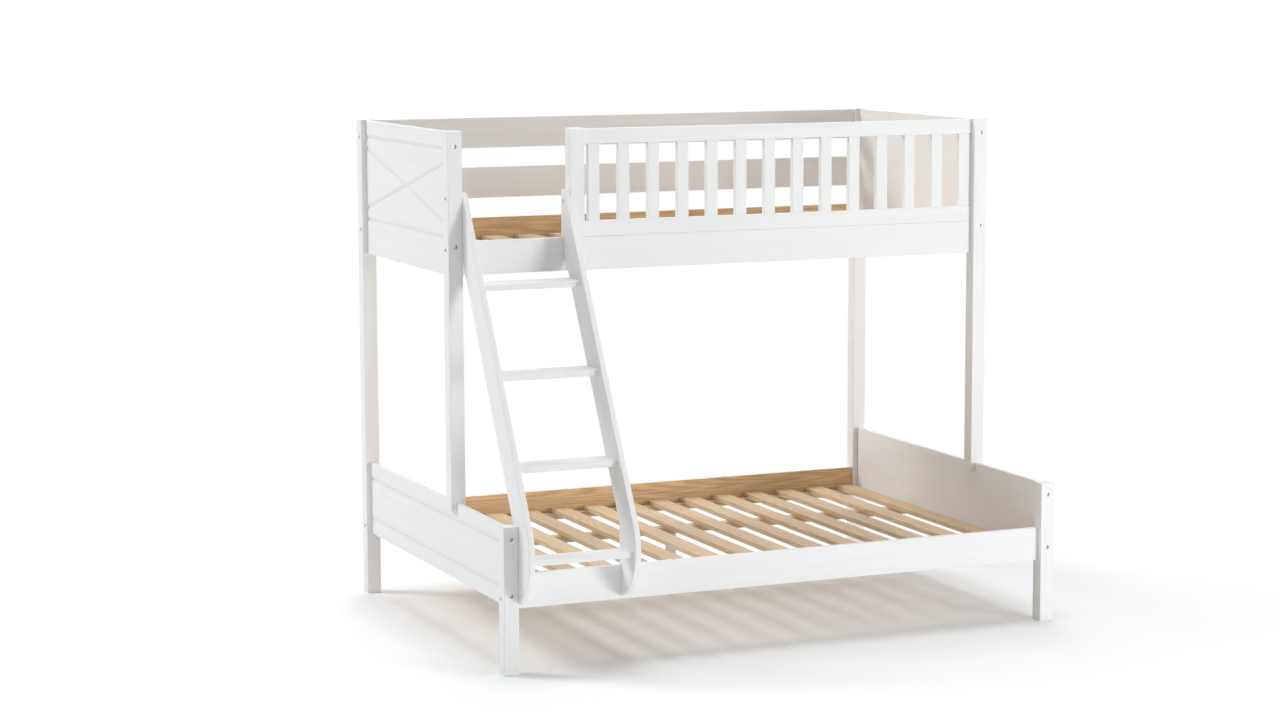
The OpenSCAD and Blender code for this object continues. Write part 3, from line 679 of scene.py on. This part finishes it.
# The end panels' paint carries painted shade in its grooves
dress(painted("white_paint_y", "Y", shaded_grooves=True),
      ["upper_left_end_panel", "lower_left_end_panel", "upper_right_end_panel", "lower_right_end_panel"],
      EDGE)
dress(painted("front_rail_paint", "X", inner=(0, 1, 0)),
      ["lower_front_rail", "upper_front_rail"], EDGE)
dress(painted("rear_rail_paint", "X", inner=(0, -1, 0)),
      ["lower_rear_rail", "upper_rear_rail"], EDGE)
dress(natural("pine_slats", "Y", pitch=slat_pitch, first=slat_first),
      ["upper_slats", "lower_slats"], SLAT_EDGE)
dress(natural("pine_ledgers", "X", RAIL_LIGHT, RAIL_DARK),
      ["lower_front_ledger", "lower_rear_ledger", "upper_front_ledger", "upper_rear_ledger"], EDGE)
dress(natural("pine_beam", "X"), ["lower_support_beam"], EDGE)
cover_caps().data.materials.append(cap_plastic())
dress(natural("beech_dowels", "X", BEECH, dimmed(BEECH, BEECH_DARK)), ["frame_dowels"])
dress(webbing(), ["upper_slat_tapes", "lower_slat_tapes"])
dress(zinc(), ["panel_bolts", "rail_bolts", "ladder_bolts", "panel_nuts", "rail_nuts",
                        "ladder_inserts", "ledger_screws", "guard_post_screws", "support_leg_screws",
                        "upper_slat_staples", "lower_slat_staples"])


# Floor, light and camera

def floor():
    """A pale floor that keeps the bed's shadow and runs out to white around it."""
    bpy.ops.mesh.primitive_plane_add(size=FLOOR_SIZE, location=(0, 0, 0))
    ob = bpy.context.object
    ob.name = "studio_floor"
    m, tree, bsdf = new_material("studio_floor")
    bsdf.inputs["Base Color"].default_value = colour(FLOOR_COLOUR)
    bsdf.inputs["Roughness"].default_value = FLOOR_ROUGHNESS
    bsdf.inputs["Specular IOR Level"].default_value = 0.0
    squeeze = (1.0 / FLOOR_AXES[0], 1.0 / FLOOR_AXES[1], 1.0)
    squeezed = add(tree, "Mapping", Vector=place_on_object(tree), Scale=squeeze).outputs[0]
    fade = tree.nodes.new("ShaderNodeMapRange")
    fade.interpolation_type = "SMOOTHSTEP"
    put(tree, fade, "Value", vector_math(tree, "LENGTH", squeezed).outputs["Value"])
    put(tree, fade, "From Min", FLOOR_FADE[0])
    put(tree, fade, "From Max", FLOOR_FADE[1])
    rays = tree.nodes.new("ShaderNodeLightPath")
    seen = math_node(tree, "MAXIMUM", rays.outputs["Is Camera Ray"], rays.outputs["Is Glossy Ray"])
    near = add(tree, "Emission", Color=(1, 1, 1, 1))
    put(tree, near, "Strength", math_node(tree, "MULTIPLY", seen, FLOOR_LIFT))
    both = tree.nodes.new("ShaderNodeAddShader")
    tree.links.new(bsdf.outputs[0], both.inputs[0])
    tree.links.new(near.outputs[0], both.inputs[1])
    far = add(tree, "Emission", Color=(1, 1, 1, 1), Strength=1.0)
    total = tree.nodes.new("ShaderNodeMixShader")
    put(tree, total, "0", math_node(tree, "MULTIPLY", seen, fade.outputs["Result"]))
    tree.links.new(both.outputs[0], total.inputs[1])
    tree.links.new(far.outputs[0], total.inputs[2])
    tree.links.new(total.outputs[0], tree.nodes["Material Output"].inputs["Surface"])
    ob.data.materials.append(m)


def world():
    """White where it is seen, and a softer ambient light on the bed."""
    w = bpy.data.worlds.new("studio")
    SCENE.world = w
    w.use_nodes = True
    tree = w.node_tree
    back = tree.nodes["Background"]
    rays = tree.nodes.new("ShaderNodeLightPath")
    seen = math_node(tree, "MAXIMUM", rays.outputs["Is Camera Ray"], rays.outputs["Is Transmission Ray"])
    seen = math_node(tree, "MAXIMUM", seen, rays.outputs["Is Glossy Ray"])
    strength = math_node(tree, "ADD", math_node(tree, "MULTIPLY", seen, 1.0 - AMBIENT), AMBIENT)
    back.inputs["Color"].default_value = (1, 1, 1, 1)
    put(tree, back, "Strength", strength)


def softbox(name, azimuth, elevation, distance, size, power):
    """A round lamp aimed at the bed. azimuth is measured from the front (-Y) towards +X."""
    a, e = math.radians(azimuth), math.radians(elevation)
    way = Vector((math.sin(a) * math.cos(e), -math.cos(a) * math.cos(e), math.sin(e)))
    lamp = bpy.data.lights.new(name, "AREA")
    lamp.shape = "DISK"
    lamp.size = size
    lamp.energy = power
    ob = bpy.data.objects.new(name, lamp)
    SCENE.collection.objects.link(ob)
    ob.location = Vector(LAMP_TARGET) + way * distance
    ob.rotation_euler = way.to_track_quat("Z", "Y").to_euler()


def camera():
    """The camera at the photograph's viewing angle."""
    heading, tilt, roll = (math.radians(v) for v in CAMERA_ANGLES)
    ahead = Vector((math.sin(heading) * math.cos(tilt), math.cos(heading) * math.cos(tilt),
                    -math.sin(tilt)))
    side = Vector((math.cos(heading), -math.sin(heading), 0.0))
    up = side.cross(ahead)
    right = math.cos(roll) * side + math.sin(roll) * up
    top = math.cos(roll) * up - math.sin(roll) * side
    data = bpy.data.cameras.new("photo_camera")
    data.sensor_width = FILM_WIDTH
    data.lens = FOCAL_LENGTH
    data.clip_start, data.clip_end = CLIP
    ob = bpy.data.objects.new("photo_camera", data)
    SCENE.collection.objects.link(ob)
    turn = Matrix((right, top, -ahead)).transposed().to_4x4()
    ob.matrix_world = Matrix.Translation(Vector(CAMERA_PLACE)) @ turn
    SCENE.camera = ob


floor()
world()
for lamp in LAMPS:
    softbox(*lamp)
camera()
SCENE.view_settings.view_transform = "Standard"
